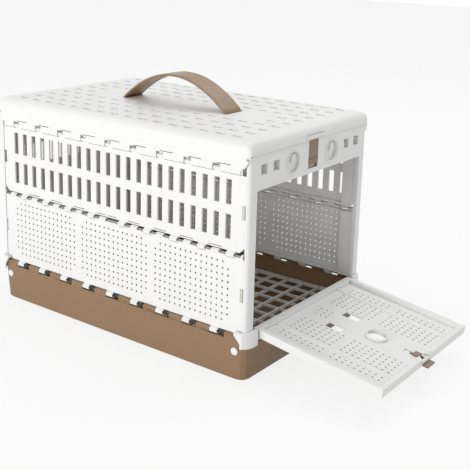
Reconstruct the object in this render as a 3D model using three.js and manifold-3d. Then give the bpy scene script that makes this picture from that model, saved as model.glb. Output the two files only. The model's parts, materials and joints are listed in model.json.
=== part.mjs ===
// Folding transport cage for birds: moulded tray, two long walls that each fold in the middle,
// a lid with a strap handle, and two end frames that swing out on the lid, one with a ramp door.
// Millimetres. +X is the door end, +Y the far long side, +Z up. The origin is the middle of the
// tray's underside. Everything is drawn set up for use, with the ramp door open.

import * as THREE from "three";
import { mergeVertices } from "three/addons/utils/BufferGeometryUtils.js";
import Module from "manifold-3d";

const wasm = await Module();
wasm.setup();

// Driving dimensions of the whole cage
const length = 406;
const width = 255;
const height = 275;
const trayHeight = 56;
const moulding = 2.4; // wall thickness of tray and lid
const runningGap = 0.3; // between parts that touch or slide
const overrun = 2; // how far a cutter runs past the face that it cuts

// Hinge lines of the long walls, one above the other at each side
const hingeDrop = 4; // from the tray's rim down to its hinge line
const lidHingeDrop = 34; // from the lid's top down to its hinge line
const hingeHeight = trayHeight - hingeDrop;
const lidHingeHeight = height - lidHingeDrop;
const hingeSpacing = (lidHingeHeight - hingeHeight) / 2;
const middleHingeHeight = hingeHeight + hingeSpacing;
const knuckleRadius = 3.2;
const pinRadius = 1.3;
const pinSides = 6;
const pinClearance = 0.3;
const knuckleBore = pinRadius + pinClearance; // half the width of the knuckles' square bore
const hingeLineY = width / 2 - knuckleRadius;
const knucklePitch = 40.6;
const knuckleMargin = 20; // from the cage's end to the middle of the last long knuckle
const longKnuckle = 19;
const shortKnuckle = 10.6;
const shortKnuckleShift = 5; // the short knuckles sit off the middle of their gaps
const middlePitch = 20.3;
const middleStart = 15.6; // from the cage's middle to the first knuckle of the middle hinge
const middleMargin = 24;
const endKnuckle = 3; // the bead of the middle hinge ends in a short ring
const knuckleSideGap = 0.5;
const hookKnuckle = 9.4; // the upper walls' knuckles show in windows of the lid's skirt
const hookRadius = 2.9;

// Tray
const trayCorner = 12;
const trayDraft = 2.4;
const trayBottomRound = 3;
const trayFloor = 3;
const wallEdge = 3.8; // from a hinge line to the edge of a wall or rim beside it
const sideRim = hingeHeight - wallEdge; // the long sides stop here, under the hinge line
const sideRimGap = 1; // past the ends of the walls
const trayWebDepth = 0.8; // the knuckles' webs reach this far into the rim
const doorwayCut = 13.2; // the ends are cut down by this in the middle
const doorwayRim = trayHeight - doorwayCut;
const gridSeat = 23.7;
const gridSeatDepth = 3.4;
const cornerArcs = 3;

// Floor grid
const gridThickness = 4;
const gridPitch = 38;
const gridBar = 2.6;
const gridRim = 5;
const gridClearance = 1.25;

// Round locking buttons in the tray's long sides
const buttonInset = 15; // from the cage's end
const buttonDrop = 20.5; // from the tray's rim
const buttonX = length / 2 - buttonInset;
const buttonHeight = trayHeight - buttonDrop;
const buttonRadius = 4.7;
const buttonProud = 0.8;
const buttonFlange = 1; // the flange stands out above and below the head only
const buttonFlangeHalf = 3.4;
const buttonFlangeDepth = 1.4;
const buttonSides = 10;

// End frames
const frameInset = 1.7; // from the cage's end to the frame's face
const frameThickness = 5;
const postGap = 0.5; // between a post and the lid's skirt
const postRound = 4.6;
const earDepth = 5; // the posts are square round the pivots, from this far below them
const pivotDrop = 19; // from the lid's top to the pivots of the end frames
const frameCrown = 3; // from those pivots to the frame's top
const postWidth = 13.6;
const sillLap = 6; // the sill's ends run this far outside the opening
const crossbarDrop = 55.5; // from the lid's top to the top of the opening
const frameFace = length / 2 - frameInset;
const frameBack = frameFace - frameThickness;
const framePivotX = frameFace - frameThickness / 2;
const framePivotHeight = height - pivotDrop;
const frameTop = framePivotHeight + frameCrown;
const postOuter = width / 2 - moulding - postGap;
const openingHalf = postOuter - postWidth;
const openingTop = height - crossbarDrop;
const sillHalf = openingHalf + sillLap;
const sillSeat = 0.5;
const sillEndRise = 2; // the sill's upturned ends reach this far above the posts' feet
const postSeat = 0.4;
const sillBottom = doorwayRim + sillSeat;
const postBottom = trayHeight + postSeat;
const sillEnd = postBottom + sillEndRise;
const doorwayRimHalf = sillHalf + sillSeat;
const boreSides = 8;
const framePinRadius = 1.1;
const framePinClearance = 0.35;
const framePinLength = 8.8;
const framePinFlush = 0.5;
const windowSize = 11.4;
const windowDrop = 33;
const windowHeight = height - windowDrop;
const portRadius = 12;
const portRimRadius = 15;
const portRim = 0.8;
const portDepth = 8;
const portWall = 2;
const portSides = 12;
const portWindowWidth = 6;
const portWindowHeight = 10;
const portFloor = 1.6;
const portDrop = 36;
const portHeight = height - portDrop;
const portShare = 0.375; // places across the crossbar, as shares of half the opening
const windowShares = [0.68, 0.894];

// Corner tabs at the foot of each end frame, which lap over the tray's corners
const cornerTab = 2.4;
const tabGap = 0.5;
const tabShelfThickness = 3;
const tabDepth = 15;
const tabReach = 14; // along the tray's long side, at the top
const tabReachTip = 2; // and at the tip
const tabLap = 4; // over the edge of the opening
const tabShelf = postBottom + tabShelfThickness;
const tabTip = trayHeight - tabDepth;

// Crossbar latch
const latchWidth = 20;
const latchLength = 29.2;
const latchTravelRoom = 4;
const latchThickness = 2.6;
const latchTopGap = 0.4;
const latchGripHeight = 7;
const latchGripProud = 0.9;
const latchGripInset = 0.5;
const latchPocketDepth = 3.4;
const latchGroove = 1.1;
const latchGrooveDepth = 1.6;
const latchTop = frameTop - latchTopGap;
const latchBottom = latchTop - latchLength;
const latchPocketBottom = latchBottom - latchTravelRoom;

// Long walls
const wallHalf = frameBack - runningGap;
const wallPlate = 2.2;
const wallRecess = 0.5; // outer face behind the hinge line, so that the folded halves lie flat
const wallRibDepth = 10;
const wallRib = 2.2;
const wallEndBlock = 19;
const wallBeadRib = 7;
const beadDrop = 0.3; // the lower wall's bead stops this far below the middle hinge line
const wallChamfer = 7; // lower corners of the upper wall
const slotPitch = 16.44;
const slotWidth = 7.4;
const slotRows = 2;
const slotRowGap = 11.2;
const slotMarginBelow = 16.9;
const slotMarginAbove = 10.4;
const catchWidth = 4.6;
const catchHeight = 16;
const catchDepth = 1.2;
const catchShare = 0.53; // of the way from one hinge line to the next
const plateOuter = -hingeLineY + wallRecess;
const plateInner = plateOuter + wallPlate;
const ribInner = plateOuter + wallRibDepth;

// Lid
const skirtLap = 2.1; // the skirts run this far below the hinge line
const lidRimDepth = 15.2; // from the lid's top to the lower edge of its ends
const lidRound = 9;
const lidRoundArcs = 3;
const lidCorner = 6;
const lidKnuckleHalf = 2.6; // the lid's own knuckles are square beads behind its skirt
const hookWindow = 10.4;
const hookWindowRise = 5.5; // from the hinge line to the top of the windows
const lidStep = 5;
const lidStepInset = 13;
const lidDiagonalInset = 7.4;
const lidDiagonalRise = 7.8;
const lidSlotPitchX = 22.8;
const lidSlotPitchY = 24.2;
const lidSlotMarginX = 31;
const lidSlotMarginY = 18;
const lidSlotLength = 12;
const lidSlotWidth = 4.6;
const lipHalf = 18.6;
const lipDepth = 2.6;
const lipHeight = 3;
const lipDrop = 12.2; // from the lid's top to the lip's underside
const lidSkirtBottom = lidHingeHeight - skirtLap;
const lidEndRim = height - lidRimDepth;
const hookWindowTop = lidHingeHeight + hookWindowRise;

// Strap handle
const strapSpan = 168;
const strapRise = 38;
const strapWidth = 34;
const strapThickness = 3;
const strapFoot = 8;
const strapFlange = 2.4;
const strapFlangeHeight = 2.2;
const strapSlotGap = 0.4;
const strapSteps = 14;
const collarBorder = 4;
const collarThickness = 2.4;
const plainZoneX = 62; // no slots in the lid this far past the strap's feet
const plainZoneY = 9; // nor this far beside the strap

// Ramp door
const doorBarrel = 4.5;
const doorSideGap = 6;
const doorTopGap = 1;
const doorPivotDrop = 1.5; // below the tray's rim
const doorSillGap = 0.8;
const doorInnerRise = 5.5;
const doorBorder = 7;
const doorPanelTop = 0.5;
const doorPanel = 2.4;
const doorOpenDrop = 8; // degrees below level when it is open
const doorRidgeWidth = 5;
const doorRidgeHeight = 1.4;
const doorRidgeShare = 0.644; // places across the door, as shares of half its width
const doorSlotShare = 0.184;
const doorSlotLengthShare = 0.338; // places along the door, as shares of its length
const fingerHoleShare = 0.61;
const fingerHoleRadius = 11.4;
const fingerRim = 2.2;
const fingerRimHeight = 2.6;
const fingerSides = 20;
const doorSlotLength = 22;
const doorSlotWidth = 13;
const latchSlotInset = 16; // from the free edge to the middle of the bolt's slot
const latchSlotLength = 24;
const latchSlotWidth = 6;
const notchWidth = 24;
const doorPinRadius = 1.3;
const doorPinClearance = 0.4;
const doorPinInside = 6.6; // how far the pins reach into the door
const doorPinOutside = 4; // and into the sill's ends
const doorPivotHeight = trayHeight - doorPivotDrop;
const sillTop = doorPivotHeight - doorBarrel - doorSillGap;
const doorHalf = openingHalf - doorSideGap;
const doorLength = openingTop - doorPivotHeight - doorTopGap;
const doorPinOuter = openingHalf + doorPinOutside;
const doorPinInner = doorHalf - doorPinInside;
const doorPinBore = doorPinRadius + doorPinClearance;

// Rear panel, snapped into the rear frame from outside
const rearLip = 3;
const rearLipThickness = 1;
const rearPlate = 2.4;
const rearSlotMargin = 12;
const rearSlotDrop = 29.5; // from the opening's top to the middle of the slots
const rearSlotHeight = 28;

// Door bolt
const boltWidth = 18;
const boltThickness = 1.6;
const boltLength = 30;
const boltReach = 7;
const boltClearance = 0.4;
const boltNeckInset = 7;
const boltNeckLength = 8;
const boltNeckWidth = 4.4;
const boltCap = 2.4;
const boltCapHeight = 1.8;

// Finishes
const white = new THREE.Color("#ECECEA");
const tan = new THREE.Color("#927A68");
const steel = new THREE.Color("#8F9296");

function plastic(color) {
  return new THREE.MeshStandardMaterial({ color, roughness: 0.55, metalness: 0 });
}

function metal(color) {
  return new THREE.MeshStandardMaterial({ color, roughness: 0.35, metalness: 1 });
}

// Solids: a closed BufferGeometry becomes a solid that can be joined and cut
function solid(geometry) {
  geometry.deleteAttribute("normal");
  geometry.deleteAttribute("uv");
  const merged = mergeVertices(geometry, 1e-4);
  const vertProperties = new Float32Array(merged.attributes.position.array);
  const triVerts = new Uint32Array(merged.index.array);
  return new wasm.Manifold(new wasm.Mesh({ numProp: 3, vertProperties, triVerts }));
}

function box([x0, x1], [y0, y1], [z0, z1]) {
  const geometry = new THREE.BoxGeometry(x1 - x0, y1 - y0, z1 - z0);
  geometry.translate((x0 + x1) / 2, (y0 + y1) / 2, (z0 + z1) / 2);
  return solid(geometry);
}

// An outline drawn in (Y, Z), run along X
function alongX(shapes, x0, x1) {
  const geometry = new THREE.ExtrudeGeometry(shapes, { depth: x1 - x0, bevelEnabled: false });
  geometry.translate(0, 0, x0);
  const turn = new THREE.Matrix4().set(0, 0, 1, 0, 1, 0, 0, 0, 0, 1, 0, 0, 0, 0, 0, 1);
  geometry.applyMatrix4(turn);
  return solid(geometry);
}

// An outline drawn in (Z, X), run along Y
function alongY(shapes, y0, y1) {
  const geometry = new THREE.ExtrudeGeometry(shapes, { depth: y1 - y0, bevelEnabled: false });
  geometry.translate(0, 0, y0);
  const turn = new THREE.Matrix4().set(0, 1, 0, 0, 0, 0, 1, 0, 1, 0, 0, 0, 0, 0, 0, 1);
  geometry.applyMatrix4(turn);
  return solid(geometry);
}

// An outline drawn in (X, Y), run along Z
function alongZ(shapes, z0, z1) {
  const geometry = new THREE.ExtrudeGeometry(shapes, { depth: z1 - z0, bevelEnabled: false });
  geometry.translate(0, 0, z0);
  return solid(geometry);
}

function outline(points) {
  return new THREE.Shape(points.map(([u, v]) => new THREE.Vector2(u, v)));
}

function rectangle([u0, u1], [v0, v1]) {
  return outline([[u0, v0], [u1, v0], [u1, v1], [u0, v1]]);
}

function polygon(radius, sides, u = 0, v = 0) {
  const points = [];
  for (let side = 0; side < sides; side += 1) {
    const angle = ((side + 1 / 2) / sides) * 2 * Math.PI;
    points.push([u + radius * Math.cos(angle), v + radius * Math.sin(angle)]);
  }
  return outline(points);
}

// A span of a given length about its middle
function about(middle, span) {
  return [middle - span / 2, middle + span / 2];
}

// One ring of a rounded rectangle at height z
function roundedRing(halfX, halfY, radius, z) {
  const ring = [];
  const corners = [[1, 1, 0], [-1, 1, 1], [-1, -1, 2], [1, -1, 3]];
  for (const [signX, signY, quarter] of corners) {
    for (let step = 0; step <= cornerArcs; step += 1) {
      const angle = ((quarter + step / cornerArcs) * Math.PI) / 2;
      const x = signX * (halfX - radius) + radius * Math.cos(angle);
      const y = signY * (halfY - radius) + radius * Math.sin(angle);
      ring.push([x, y, z]);
    }
  }
  return ring;
}

// A solid through rings of equal count, lowest first, with flat ends
function loft(rings) {
  const count = rings[0].length;
  const positions = rings.flat(2);
  const index = [];
  for (let level = 0; level + 1 < rings.length; level += 1) {
    for (let spot = 0; spot < count; spot += 1) {
      const next = (spot + 1) % count;
      const a = level * count + spot;
      const b = level * count + next;
      index.push(a, b, b + count, a, b + count, a + count);
    }
  }
  const top = (rings.length - 1) * count;
  for (let spot = 1; spot + 1 < count; spot += 1) {
    index.push(0, spot + 1, spot);
    index.push(top, top + spot, top + spot + 1);
  }
  const geometry = new THREE.BufferGeometry();
  geometry.setAttribute("position", new THREE.Float32BufferAttribute(positions, 3));
  geometry.setIndex(index);
  return solid(geometry);
}

function join(parts) {
  return parts.reduce((whole, part) => whole.add(part));
}

// The mirror image of a solid across the middle plane of one axis: 0 for X, 1 for Y
function mirrored(shape, axis) {
  const mesh = shape.getMesh();
  const vertProperties = mesh.vertProperties.map((value, spot) => (spot % 3 === axis ? -value : value));
  const triVerts = mesh.triVerts.slice();
  for (let corner = 0; corner < triVerts.length; corner += 3) {
    triVerts[corner] = mesh.triVerts[corner + 1];
    triVerts[corner + 1] = mesh.triVerts[corner];
  }
  return new wasm.Manifold(new wasm.Mesh({ numProp: 3, vertProperties, triVerts }));
}

const group = new THREE.Group();

function place(name, shape, material) {
  const mesh = shape.getMesh();
  const geometry = new THREE.BufferGeometry();
  geometry.setAttribute("position", new THREE.Float32BufferAttribute(mesh.vertProperties, 3));
  geometry.setIndex(Array.from(mesh.triVerts));
  geometry.computeVertexNormals();
  const result = new THREE.Mesh(geometry, material);
  result.name = name;
  group.add(result);
  return result;
}

// The near side is -Y and the far side +Y. Pieces are drawn for the near side and the front end.
const sides = [["near", -1], ["far", 1]];
const ends = [["front", 1], ["rear", -1]];

function onSide(shape, sign) {
  return sign < 0 ? shape : mirrored(shape, 1);
}

function atEnd(shape, sign) {
  return sign > 0 ? shape : mirrored(shape, 0);
}

function range(count) {
  return Array.from({ length: count }, (unused, position) => position);
}

// Middles of so many copies at a pitch, centred on the cage
function centred(count, pitch) {
  return range(count).map((position) => (position - (count - 1) / 2) * pitch);
}

// Knuckle places: long ones on tray and lid, short ones of the walls in the gaps between them
const longCount = 2 * Math.floor((length / 2 - knuckleMargin) / knucklePitch + 1 / 2);
const longKnuckles = centred(longCount, knucklePitch);
const shortKnuckles = centred(longCount - 1, knucklePitch).map((x) => x - shortKnuckleShift);
const middleCount = 1 + Math.floor((length / 2 - middleMargin - middleStart) / middlePitch);
const middleUpper = [];
const middleLower = [];
for (const position of range(middleCount)) {
  const reach = middleStart + position * middlePitch;
  const [ahead, behind] = position % 2 === 0 ? [middleUpper, middleLower] : [middleLower, middleUpper];
  ahead.push(reach);
  behind.push(-reach);
}

// Half a hexagon round the pin, and a web beside it that ends in a wall. The web starts to stand
// back at the wall's edge, so that the folded halves of a wall lie flat on each other.
const hexFlat = Math.cos(Math.PI / 6);

function wallKnuckle(x, span, z, side, radius = knuckleRadius) {
  const flat = radius * hexFlat;
  const edge = z + side * wallEdge;
  const webEnd = edge + side * wallRib;
  const shape = outline([
    [plateOuter, webEnd], [plateOuter, edge],
    [-hingeLineY - flat, z + (side * radius) / 2], [-hingeLineY - flat, z - (side * radius) / 2],
    [-hingeLineY, z - side * radius],
    [plateInner, z - (side * radius) / 2], [plateInner, webEnd],
  ]);
  return alongX(shape, ...about(x, span));
}

function trayKnuckle(x) {
  const flat = knuckleRadius * hexFlat;
  const shape = outline([
    [-hingeLineY - flat, sideRim - trayWebDepth], [-hingeLineY - flat, hingeHeight + knuckleRadius / 2],
    [-hingeLineY, hingeHeight + knuckleRadius],
    [-hingeLineY + flat, hingeHeight + knuckleRadius / 2], [-hingeLineY + flat, hingeHeight - knuckleRadius / 2],
    [-width / 2 + moulding, sideRim], [-width / 2 + moulding, sideRim - trayWebDepth],
  ]);
  return alongX(shape, ...about(x, longKnuckle));
}

function hingeBore(z) {
  const bore = rectangle(about(-hingeLineY, 2 * knuckleBore), about(z, 2 * knuckleBore));
  return alongX(bore, -length / 2, length / 2);
}

// Tray: a pan up to the level of the doorway, and above it a rim along each long side, which has
// the raised corners and the hinge knuckles. The real tray is one moulding.
function tray() {
  const halfX = length / 2;
  const halfY = width / 2;
  const draftAt = (z) => trayDraft * (1 - z / trayHeight);
  const outerRing = (z, inset) => roundedRing(
    halfX - draftAt(z) - inset, halfY - draftAt(z) - inset, trayCorner - inset, z,
  );
  const outer = loft([
    outerRing(0, trayBottomRound),
    outerRing(trayBottomRound / 3, trayBottomRound / 3),
    outerRing(trayBottomRound, 0),
    outerRing(trayHeight, 0),
  ]);
  const innerRing = (z, inset) => roundedRing(
    halfX - moulding - inset, halfY - moulding - inset, trayCorner - moulding, z,
  );
  const seat = loft([innerRing(trayFloor, gridSeatDepth + trayDraft), innerRing(gridSeat, gridSeatDepth)]);
  const room = loft([innerRing(gridSeat - runningGap / 3, trayDraft / 2), innerRing(trayHeight + overrun, 0)]);
  const shell = outer.subtract(seat).subtract(room);
  const above = [doorwayRim, trayHeight + overrun];
  const holes = [-buttonX, buttonX].map((x) => (
    polygon(buttonRadius + runningGap, buttonSides, buttonHeight, x)
  ));
  const pan = shell
    .subtract(box([-length, length], [-width, width], above))
    .subtract(alongY(holes, -width, width));
  place("base_tray", pan, plastic(tan));

  const sideSpan = [-wallHalf - sideRimGap, wallHalf + sideRimGap];
  const knuckles = join(longKnuckles.map(trayKnuckle)).subtract(hingeBore(hingeHeight));
  const rim = shell
    .intersect(box([-length, length], [-width, -doorwayRimHalf], above))
    .subtract(box(sideSpan, [-width, width], [sideRim, trayHeight + overrun]))
    .add(knuckles);
  for (const [sideName, sign] of sides) {
    place(`tray_rim_${sideName}`, onSide(rim, sign), plastic(tan));
  }
}

// Floor grid that lies on the tray's seat
function floorGrid() {
  const inset = moulding + trayDraft / 2 + gridClearance;
  const half = [length / 2 - inset, width / 2 - inset];
  const plate = outline(roundedRing(...half, trayCorner - moulding, 0));
  const places = half.map((reach) => {
    const inside = 2 * (reach - gridRim);
    const count = Math.floor(inside / gridPitch);
    const pitch = (inside + gridBar) / count;
    return centred(count, pitch).map((middle) => about(middle, pitch - gridBar));
  });
  const cells = places[0].flatMap((spanX) => places[1].map((spanY) => rectangle(spanX, spanY)));
  const bottom = gridSeat + runningGap;
  const top = bottom + gridThickness;
  const shape = alongZ(plate, bottom, top).subtract(alongZ(cells, bottom - overrun, top + overrun));
  place("floor_grid", shape, plastic(white));
}

// Locking buttons: a round head through the tray wall with a flange inside
function buttons() {
  const headOuter = width / 2 - trayDraft * (1 - buttonHeight / trayHeight) + buttonProud;
  const flangeOuter = width / 2 - moulding - trayDraft / 2 - runningGap;
  for (const [sideName, sideSign] of sides) {
    for (const [endName, endSign] of ends) {
      const x = endSign * buttonX;
      const head = alongY(
        polygon(buttonRadius, buttonSides, buttonHeight, x), -headOuter, -flangeOuter,
      );
      const flange = box(
        about(x, 2 * buttonFlangeHalf), [-flangeOuter, -flangeOuter + buttonFlangeDepth],
        about(buttonHeight, 2 * (buttonRadius + buttonFlange)),
      );
      place(`lock_button_${sideName}_${endName}`, onSide(head.add(flange), sideSign), plastic(white));
    }
  }
}

// Long walls: a thin plate with deep solid ends and a rib along each edge, in two folding halves
function wallBody(z0, z1) {
  const ribEdge = plateOuter + wallBeadRib;
  const beyond = ribInner + overrun;
  const pocket = outline([
    [plateInner, z0 + wallRib], [ribEdge, z0 + wallRib], [ribEdge, z0 - overrun], [beyond, z0 - overrun],
    [beyond, z1 + overrun], [ribEdge, z1 + overrun], [ribEdge, z1 - wallRib], [plateInner, z1 - wallRib],
  ]);
  const pocketHalf = wallHalf - wallEndBlock;
  return box([-wallHalf, wallHalf], [plateOuter, ribInner], [z0, z1])
    .subtract(alongX(pocket, -pocketHalf, pocketHalf));
}

// Notches in the wall's ends where the end frames' ribs catch
function catchNotches(z) {
  const depth = [plateOuter - overrun, plateOuter + catchDepth];
  return join(ends.map(([, sign]) => {
    const middle = sign * (wallHalf - (catchWidth - overrun) / 2);
    return box(about(middle, catchWidth + overrun), depth, about(z, catchHeight));
  }));
}

function lowerWall(name, sign) {
  const z0 = hingeHeight + wallEdge;
  const z1 = middleHingeHeight - wallEdge;
  const beadTop = middleHingeHeight - beadDrop;
  const rooms = middleUpper.map((x) => (
    box(about(x, shortKnuckle + 2 * knuckleSideGap), [-width, 0], [hingeHeight, height])
  ));
  const bead = wallKnuckle(0, 2 * (wallHalf - endKnuckle / 2), middleHingeHeight, -1)
    .subtract(box([-length, length], [-width, 0], [beadTop, height]))
    .subtract(join(rooms));
  const rings = ends.map(([, end]) => (
    wallKnuckle(end * (wallHalf - endKnuckle / 2), endKnuckle, middleHingeHeight, -1)
  ));
  const shape = wallBody(z0, z1)
    .add(bead)
    .add(join(shortKnuckles.map((x) => wallKnuckle(x, shortKnuckle, hingeHeight, 1))))
    .add(join(middleLower.map((x) => wallKnuckle(x, shortKnuckle, middleHingeHeight, -1))))
    .add(join(rings))
    .subtract(hingeBore(hingeHeight))
    .subtract(hingeBore(middleHingeHeight))
    .subtract(catchNotches(hingeHeight + catchShare * hingeSpacing));
  place(name, onSide(shape, sign), plastic(white));
}

function upperWall(name, sign) {
  const z0 = middleHingeHeight + wallEdge;
  const z1 = lidHingeHeight - wallEdge;
  const gaps = (slotRows - 1) * slotRowGap;
  const slotHeight = (hingeSpacing - slotMarginBelow - slotMarginAbove - gaps) / slotRows;
  const slotCount = 1 + Math.floor((2 * (wallHalf - wallEndBlock) - slotWidth) / slotPitch);
  const slots = range(slotRows).flatMap((row) => {
    const bottom = middleHingeHeight + slotMarginBelow + row * (slotHeight + slotRowGap);
    const spanZ = [bottom, bottom + slotHeight];
    return centred(slotCount, slotPitch).map((x) => rectangle(spanZ, about(x, slotWidth)));
  });
  const chamfers = [-1, 1].map((end) => outline([
    [z0 - overrun, end * (wallHalf + overrun)], [z0 + wallChamfer, end * (wallHalf + overrun)],
    [z0 + wallChamfer, end * wallHalf], [z0, end * (wallHalf - wallChamfer)],
    [z0 - overrun, end * (wallHalf - wallChamfer)],
  ]));
  const shape = wallBody(z0, z1)
    .subtract(alongY(slots, plateOuter - overrun, plateInner + overrun))
    .subtract(alongY(chamfers, plateOuter - overrun, ribInner + overrun))
    .add(join(middleUpper.map((x) => wallKnuckle(x, shortKnuckle, middleHingeHeight, 1))))
    .add(join(shortKnuckles.map((x) => wallKnuckle(x, hookKnuckle, lidHingeHeight, -1, hookRadius))))
    .subtract(hingeBore(middleHingeHeight))
    .subtract(hingeBore(lidHingeHeight))
    .subtract(catchNotches(middleHingeHeight + catchShare * hingeSpacing));
  place(name, onSide(shape, sign), plastic(white));
}

// Straight pins through the knuckles
function wallPins() {
  const longHalf = longKnuckles[longCount - 1] + longKnuckle / 2 - runningGap;
  const middleHalf = wallHalf - endKnuckle / 3;
  const levels = [
    ["tray", hingeHeight, longHalf],
    ["middle", middleHingeHeight, middleHalf],
    ["lid", lidHingeHeight, longHalf],
  ];
  for (const [levelName, z, half] of levels) {
    for (const [sideName, sign] of sides) {
      const shape = alongX(polygon(pinRadius, pinSides, -hingeLineY, z), -half, half);
      place(`${levelName}_pin_${sideName}`, onSide(shape, sign), metal(steel));
    }
  }
}

// Lid: a shell with rounded edges, a slotted top and hinge beads behind its long skirts
function lidRings(inset, z0, z1, round, arcs) {
  const halfX = length / 2 - inset;
  const halfY = width / 2 - inset;
  const corner = lidCorner - inset;
  const rings = range(arcs + 1).map((step) => {
    const angle = (step / arcs) * (Math.PI / 2);
    const draw = round * (1 - Math.cos(angle));
    return roundedRing(halfX - draw, halfY - draw, corner, z1 - round + round * Math.sin(angle));
  });
  return loft([roundedRing(halfX, halfY, corner, z0), ...rings]);
}

// What the lid's skirts lose near the ends: a step, a slant and the end itself
function skirtEnds() {
  const below = lidSkirtBottom - overrun;
  const stepX = length / 2 - lidStepInset;
  const shapes = [-1, 1].map((end) => outline([
    [below, end * stepX], [lidSkirtBottom + lidStep, end * stepX],
    [lidSkirtBottom + lidDiagonalRise, end * (length / 2 - lidDiagonalInset)],
    [lidEndRim, end * (frameFace + overrun)], [lidEndRim, end * length], [below, end * length],
  ]));
  return alongY(shapes, -width, width);
}

function lidSlots() {
  const columns = 1 + Math.floor((length - 2 * lidSlotMarginX) / lidSlotPitchX);
  const rows = 1 + Math.floor((width - 2 * lidSlotMarginY) / lidSlotPitchY);
  const zoneX = strapSpan / 2 + plainZoneX;
  const zoneY = strapWidth / 2 + plainZoneY;
  const slots = [];
  for (const x of centred(columns, lidSlotPitchX)) {
    for (const y of centred(rows, lidSlotPitchY)) {
      const besideStrap = Math.abs(x) > zoneX || Math.abs(y) > zoneY;
      if (besideStrap) {
        slots.push(rectangle(about(x, lidSlotLength), about(y, lidSlotWidth)));
      }
    }
  }
  return alongZ(slots, height - moulding - overrun, height + overrun);
}

function lid() {
  const outer = lidRings(0, lidSkirtBottom, height, lidRound, lidRoundArcs);
  const inner = lidRings(moulding, lidSkirtBottom - overrun, height - moulding, lidRound - moulding, 1);
  const skirtInner = width / 2 - moulding;
  const endCut = box([-length, length], [-skirtInner, skirtInner], [lidSkirtBottom - overrun, lidEndRim]);
  const feet = [-1, 1].map((end) => box(
    about(end * (strapSpan / 2), 2 * (strapThickness + strapSlotGap)),
    about(0, strapWidth + 2 * strapSlotGap), [height - moulding - overrun, height + overrun],
  ));
  let shape = outer.subtract(inner).subtract(skirtEnds()).subtract(endCut);
  shape = shape.subtract(lidSlots()).subtract(join(feet));

  const beadHalf = longKnuckles[longCount - 1] + longKnuckle / 2;
  const beadY = [-skirtInner - moulding / 2, -hingeLineY + lidKnuckleHalf];
  const beadZ = [lidHingeHeight - lidKnuckleHalf, lidHingeHeight + knuckleRadius];
  const bead = box([-beadHalf, beadHalf], beadY, beadZ);
  const windows = shortKnuckles.map((x) => (
    box(about(x, hookWindow), [-width, beadY[1] + overrun], [beadZ[0] - overrun, hookWindowTop])
  ));
  const pinHoles = [-framePivotX, framePivotX].map((x) => (
    polygon(framePinRadius + framePinClearance, boreSides, framePivotHeight, x)
  ));
  for (const [, sign] of sides) {
    shape = shape
      .add(onSide(bead, sign))
      .subtract(onSide(join(windows), sign))
      .subtract(onSide(hingeBore(lidHingeHeight), sign));
  }
  shape = shape.subtract(alongY(pinHoles, -width, width));
  const lip = box(
    [length / 2 - moulding / 2, length / 2 + lipDepth], about(0, 2 * lipHalf),
    [height - lipDrop, height - lipDrop + lipHeight],
  );
  place("lid_shell", shape.add(lip), plastic(white));
}

// Strap handle: a thin arch whose feet pass through the lid and are held by a collar below it
function handle() {
  const half = strapSpan / 2;
  const arch = (x) => height + strapRise * (1 - (x / half) ** 2);
  const outer = [];
  const inner = [];
  for (const step of range(strapSteps + 1)) {
    const x = -half + (step / strapSteps) * strapSpan;
    const slope = (-2 * strapRise * x) / (half * half);
    const size = Math.hypot(1, slope);
    const shift = strapThickness / 2;
    outer.push([arch(x) + shift / size, x - (shift * slope) / size]);
    inner.push([arch(x) - shift / size, x + (shift * slope) / size]);
  }
  const footBottom = height - moulding - strapFoot;
  const flangeTop = footBottom + strapFlangeHeight;
  const first = outer[0][1];
  const last = outer[outer.length - 1][1];
  const points = [
    [footBottom, first - strapFlange], [flangeTop, first - strapFlange], [flangeTop, first],
    ...outer,
    [flangeTop, last], [flangeTop, last + strapFlange], [footBottom, last + strapFlange],
    [footBottom, last - strapThickness],
    ...inner.reverse(), [footBottom, first + strapThickness],
  ];
  const shape = alongY(outline(points), -strapWidth / 2, strapWidth / 2);
  place("carry_strap", shape, plastic(tan));

  const collarTop = height - moulding - runningGap;
  const footOuter = last + runningGap;
  const footInner = last - strapThickness - strapSlotGap - runningGap;
  const slotY = about(0, strapWidth + 2 * strapSlotGap);
  const bodyY = about(0, strapWidth + 2 * (strapSlotGap + collarBorder));
  const body = box(
    [footInner - collarBorder, footOuter + collarBorder], bodyY, [collarTop - collarThickness, collarTop],
  );
  const slot = box([footInner, footOuter], slotY, [collarTop - collarThickness - overrun, height]);
  for (const [endName, sign] of ends) {
    place(`strap_collar_${endName}`, atEnd(body.subtract(slot), sign), plastic(white));
  }
}

// What the corner tabs reach over, at the near corner of the door end
function tabZone() {
  const spanZ = [tabTip, tabShelf];
  const side = outline([
    [tabShelf, length / 2 - tabReach], [tabShelf, length], [tabTip, length],
    [tabTip, length / 2 - tabReachTip], [postBottom, length / 2 - tabReach],
  ]);
  return join([
    box([frameFace, length], [-width, -openingHalf + tabLap], spanZ),
    box([frameBack, length], [-width, -openingHalf], spanZ),
    alongY(side, -width, -postOuter - runningGap),
  ]);
}

// A rounded block over the tray's plan, this far outside it
function overTray(outside, spanZ) {
  const corner = trayCorner + outside;
  return alongZ(outline(roundedRing(length / 2 + outside, width / 2 + outside, corner, 0)), ...spanZ);
}

function frameCornerTab() {
  const skin = overTray(tabGap + cornerTab, [tabTip, postBottom])
    .subtract(overTray(tabGap, [tabTip - overrun, tabShelf]));
  return skin.intersect(tabZone());
}

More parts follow.
